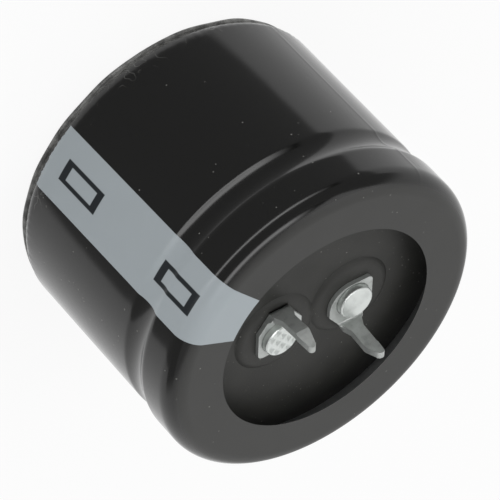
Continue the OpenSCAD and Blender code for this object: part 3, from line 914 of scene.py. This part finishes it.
def ahead(graph, vector, stage):
    """How far a vector reaches towards the camera's side, along the floor."""
    parts = graph.node("ShaderNodeSeparateXYZ", None, {0: vector})
    x, y = Signal(graph, parts.outputs[0]), Signal(graph, parts.outputs[1])
    return x * math.cos(stage.azimuth) + y * math.sin(stage.azimuth)


def looks(graph, stage, front, keep, lit, plain_white):
    """Mixes a lit shader with the plain white that the camera and gloss see.

    Where front is 1, on the camera's side, gloss sees a darker studio instead of white.
    """
    rays = graph.node("ShaderNodeLightPath")
    gloss = 1.0 - Signal(graph, rays.outputs["Is Camera Ray"])
    dark = (stage.front, stage.front, stage.front)
    graph.feed(plain_white.inputs["Color"], graph.mix(front * gloss, (1.0, 1.0, 1.0), dark))
    first, second = Signal(graph, lit.outputs[0]), Signal(graph, plain_white.outputs[0])
    return graph.out("ShaderNodeMixShader", None, {0: seen(graph, keep), 1: first, 2: second})


def backwards(azimuth, elevation):
    """Unit vector to a place at an azimuth and an elevation, both in radians."""
    level = math.cos(elevation)
    return np.array([
        level * math.cos(azimuth), level * math.sin(azimuth), math.sin(elevation)
    ])  # fmt: skip


def look_from(stage):
    """Matrix of a camera that stands at an azimuth and elevation and is rolled on its axis."""
    back = backwards(stage.azimuth, stage.elevation)
    level = np.cross([0.0, 0.0, 1.0], back)
    level /= np.linalg.norm(level)
    upright = np.cross(back, level)
    right = math.cos(stage.roll) * level + math.sin(stage.roll) * upright
    above = np.cross(back, right)
    place = np.array(stage.target) + back * stage.distance
    rows = np.column_stack([right, above, back, place])
    return Matrix([*rows.tolist(), [0, 0, 0, 1]])


class CAPACITOR_OT_stage(Operator):
    """Set up the pale floor, the soft light and the camera"""

    bl_idname = "capacitor.stage"
    bl_label = "Stage"

    def floor(self, scene, stage):
        """A wide pale floor, with a ring of pale floor beside the part also in its gloss."""
        half = stage.floor_w / 2
        mesh = bpy.data.meshes.new("floor")
        corners = [(-half, -half), (half, -half), (half, half), (-half, half)]
        mesh.from_pydata([(x, y, FLOOR_Z) for x, y in corners], [], [(0, 1, 2, 3)])
        g = Graph.of_material("pale_floor")
        vector = g.out("ShaderNodeTexCoord", output="Object")
        gap = stage.front_gap
        front = ahead(g, vector, stage).step(gap - FRONT_SOFT, gap + FRONT_SOFT)
        across = g.out("ShaderNodeVectorMath", {"operation": "LENGTH"}, {0: vector}, output=1)
        front = front * (1.0 - (across - stage.apron_r).inside(APRON_HALF, APRON_SOFT))
        grey = (FLOOR_GREY, FLOOR_GREY, FLOOR_GREY, 1)
        matte = g.node("ShaderNodeBsdfDiffuse", None, {"Color": grey})
        white = g.node("ShaderNodeEmission")
        surface = looks(g, stage, front, stage.floor_keep, matte, white)
        g.node("ShaderNodeOutputMaterial", None, {"Surface": surface})
        mesh.materials.append(g.owner)
        floor = bpy.data.objects.new("floor", mesh)
        scene.collection.objects.link(floor)

    def sky(self, scene, stage):
        """A plain world that lights the part, white to the camera and to gloss."""
        scene.world = bpy.data.worlds.new("studio")
        g = Graph(scene.world)
        vector = g.out("ShaderNodeTexCoord", output="Generated")
        front = ahead(g, vector, stage).step(*SKY_FRONT)
        even = {"Color": (1, 1, 1, 1), "Strength": stage.world}
        lit = g.node("ShaderNodeBackground", None, even)
        white = g.node("ShaderNodeBackground")
        surface = looks(g, stage, front, 1.0, lit, white)
        g.node("ShaderNodeOutputWorld", None, {"Surface": surface})

    def strip(self, scene, stage, name, reach, rise):
        """A curved strip of light round the camera's side that only gloss shows.

        It is part of a cylinder or cone about the axis: its lower and upper edges are arcs at
        the given radii and heights, and it fades towards its ends and edges.
        """
        spread = np.linspace(-STRIP_HALF_SPAN, STRIP_HALF_SPAN, STRIP_COLUMNS)
        turns = stage.azimuth + np.radians(spread)[:, None]
        sections = np.column_stack([reach, rise])[None]
        points = revolved(turns, sections).reshape(-1, 3)
        index = np.arange(len(points)).reshape(-1, 2)
        quads = np.stack([index[:-1, 0], index[1:, 0], index[1:, 1], index[:-1, 1]], axis=-1)
        mesh = bpy.data.meshes.new(name)
        mesh.from_pydata((points * MM).tolist(), [], quads.tolist())
        g = Graph.of_material(name)
        _, x, y, z = g.place()
        low, high = rise
        middle, half = (low + high) / 2, (high - low) / 2
        turned = y.math("ARCTAN2", x) - stage.azimuth
        fade = 1.0 - abs(turned).step(*(math.radians(edge) for edge in STRIP_FADE))
        fade = fade * (1.0 - abs(z - middle).step(STRIP_CORE * half, half))
        glow = g.out("ShaderNodeEmission", None, {"Strength": fade * stage.strip})
        g.node("ShaderNodeOutputMaterial", None, {"Surface": glow})
        mesh.materials.append(g.owner)
        strip = bpy.data.objects.new(name, mesh)
        strip.visible_camera = False
        strip.visible_diffuse = False
        strip.visible_shadow = False
        scene.collection.objects.link(strip)

    def lamp(self, scene, power, name, size, azimuth, elevation, distance):
        """A square area lamp that points at the origin."""
        light = bpy.data.lights.new(name, "AREA")
        light.energy = power
        light.size = size
        lamp = bpy.data.objects.new(name, light)
        back = backwards(math.radians(azimuth), math.radians(elevation))
        right = np.cross([0.0, 0.0, 1.0], back)
        right /= np.linalg.norm(right)
        rows = np.column_stack([right, np.cross(back, right), back, back * distance])
        lamp.matrix_world = Matrix([*rows.tolist(), [0, 0, 0, 1]])
        scene.collection.objects.link(lamp)

    def viewer(self, scene, stage):
        """The camera, which stands far off with a long lens."""
        camera = bpy.data.cameras.new("camera")
        camera.lens = stage.lens
        camera.sensor_width = SENSOR_W
        camera.clip_start, camera.clip_end = CLIP
        viewer = bpy.data.objects.new("camera", camera)
        viewer.matrix_world = look_from(stage)
        scene.collection.objects.link(viewer)
        scene.camera = viewer

    def execute(self, context):
        scene = context.scene
        stage = scene.capacitor_stage
        self.floor(scene, stage)
        self.sky(scene, stage)
        for lamp in LAMPS:
            self.lamp(scene, getattr(stage, lamp["name"]), **lamp)
        for strip in STRIPS:
            self.strip(scene, stage, **strip)
        self.viewer(scene, stage)
        scene.view_settings.view_transform = "Standard"
        return {"FINISHED"}


# Panel and classes


class CAPACITOR_PT_panel(Panel):
    """Buttons for the pieces and the stage"""

    bl_idname = "CAPACITOR_PT_panel"
    bl_label = "Capacitor"
    bl_space_type = "VIEW_3D"
    bl_region_type = "UI"
    bl_category = "Capacitor"

    def draw(self, context):
        for operator in OPERATORS:
            self.layout.operator(operator.bl_idname)
        for name in PROPERTIES:
            group = getattr(context.scene, name)
            box = self.layout.box()
            for key in group.__annotations__:
                box.prop(group, key)


PROPERTIES = {
    "capacitor_film": FilmProperties,
    "capacitor_print": PrintProperties,
    "capacitor_metal": MetalProperties,
    "capacitor_header": HeaderProperties,
    "capacitor_inside": InsideProperties,
    "capacitor_stage": StageProperties,
}
OPERATORS = (
    CAPACITOR_OT_sleeve,
    CAPACITOR_OT_stripe,
    CAPACITOR_OT_header,
    CAPACITOR_OT_terminals,
    CAPACITOR_OT_inside,
    CAPACITOR_OT_stage,
)
CLASSES = (*PROPERTIES.values(), *OPERATORS, CAPACITOR_PT_panel)


def register():
    for item in CLASSES:
        bpy.utils.register_class(item)
    for name, group in PROPERTIES.items():
        setattr(bpy.types.Scene, name, PointerProperty(type=group))


def unregister():
    for name in PROPERTIES:
        delattr(bpy.types.Scene, name)
    for item in reversed(CLASSES):
        bpy.utils.unregister_class(item)


def main():
    """Builds the looks and the stage."""
    register()
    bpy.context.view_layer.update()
    for operator in OPERATORS:
        group, name = operator.bl_idname.split(".")
        getattr(getattr(bpy.ops, group), name)()


if __name__ == "__main__":
    main()
